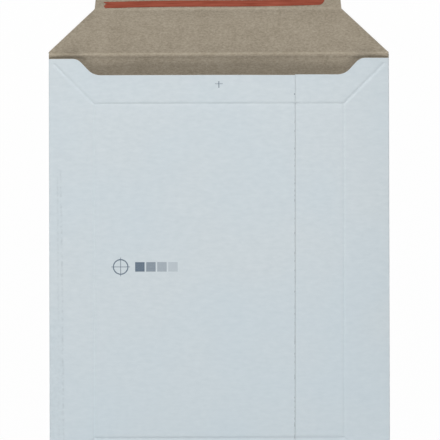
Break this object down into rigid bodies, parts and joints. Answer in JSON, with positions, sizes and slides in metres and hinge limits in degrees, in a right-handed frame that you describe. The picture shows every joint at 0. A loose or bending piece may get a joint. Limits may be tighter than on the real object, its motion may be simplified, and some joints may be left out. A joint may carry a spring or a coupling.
{
  "type": "cardboard envelope",
  "caption": "Flat mailing envelope of folded and glued solid board, with an open pocket, expansion creases, a hinged closing flap with a tab, a tear tape and a self-adhesive strip.",
  "frame": {"origin": "middle of the back panel's underside, half way between the bottom fold and the flap crease", "axes": "+X across the envelope, +Y from the bottom fold to the closing flap, +Z out of the seam side, which faces up"},
  "size_m": [0.216, 0.3316, 0.0067],
  "materials": {
    "white_lined_board": "matt white-lined solid board",
    "grey_board": "matt unlined grey board",
    "red_film": "satin printed film",
    "clear_adhesive": "tacky translucent adhesive",
    "liner_paper": "silicone-coated paper"
  },
  "bodies": {
    "envelope": {"envelope_body": "white_lined_board"},
    "flap": {"closing_flap": "grey_board", "tear_tape": "red_film", "adhesive_strip": "clear_adhesive", "release_liner": "liner_paper"}
  },
  "joints": [
    {"name": "flap_hinge", "type": "hinge", "parent": "envelope", "child": "flap", "pos_m": [0, 0.1367, 0.00394], "axis": [1, 0, 0], "range_deg": [0, 180]}
  ]
}
